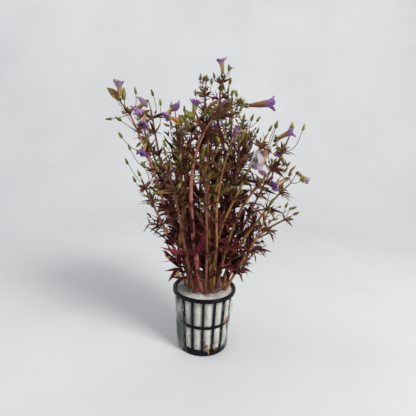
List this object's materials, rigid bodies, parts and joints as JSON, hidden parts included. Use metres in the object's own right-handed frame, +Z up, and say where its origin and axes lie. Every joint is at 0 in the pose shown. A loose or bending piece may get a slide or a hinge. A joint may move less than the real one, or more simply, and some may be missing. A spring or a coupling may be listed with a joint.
{
  "type": "rice paddy herb in a net pot",
  "caption": "Flowering rice paddy herb, a maroon-leaved marsh and aquarium plant with small violet tube flowers, rooted in rock wool in a black net pot that stands on its flat base.",
  "frame": {"origin": "centre of the flat underside of the net pot", "axes": "+Z up along the pot's axis; -Y is the side that faces the picture's camera, +X to the right of the picture"},
  "size_m": [0.146, 0.1182, 0.2299],
  "materials": {
    "pot_plastic": "near-black moulded polypropylene, slightly glossy",
    "rock_wool": "off-white damp mineral fibre",
    "stem_and_leaf": "pinkish-brown stems, maroon leaves and olive buds, soft satin",
    "petal": "violet lobes on a straw-yellow tube, velvety"
  },
  "bodies": {
    "root": {"net_pot": "pot_plastic", "rock_wool": "rock_wool", "stem_01": "stem_and_leaf", "stem_02": "stem_and_leaf", "stem_03": "stem_and_leaf", "stem_04": "stem_and_leaf", "stem_05": "stem_and_leaf", "stem_06": "stem_and_leaf", "stem_07": "stem_and_leaf", "stem_08": "stem_and_leaf", "stem_09": "stem_and_leaf", "stem_10": "stem_and_leaf", "stem_11": "stem_and_leaf", "stem_12": "stem_and_leaf", "stem_13": "stem_and_leaf", "stem_14": "stem_and_leaf", "stem_15": "stem_and_leaf", "stem_16": "stem_and_leaf", "stem_17": "stem_and_leaf", "stem_18": "stem_and_leaf", "stem_19": "stem_and_leaf", "stem_20": "stem_and_leaf", "stem_21": "stem_and_leaf", "stem_22": "stem_and_leaf", "stem_23": "stem_and_leaf", "stem_24": "stem_and_leaf", "stem_25": "stem_and_leaf", "stem_26": "stem_and_leaf", "flower_01": "petal", "flower_02": "petal", "flower_03": "petal", "flower_04": "petal", "flower_05": "petal", "flower_06": "petal", "flower_07": "petal", "flower_08": "petal", "flower_09": "petal", "flower_10": "petal", "flower_11": "petal", "flower_12": "petal", "flower_13": "petal", "flower_14": "petal", "flower_15": "petal", "flower_16": "petal", "flower_17": "petal", "flower_18": "petal"}
  },
  "joints": []
}
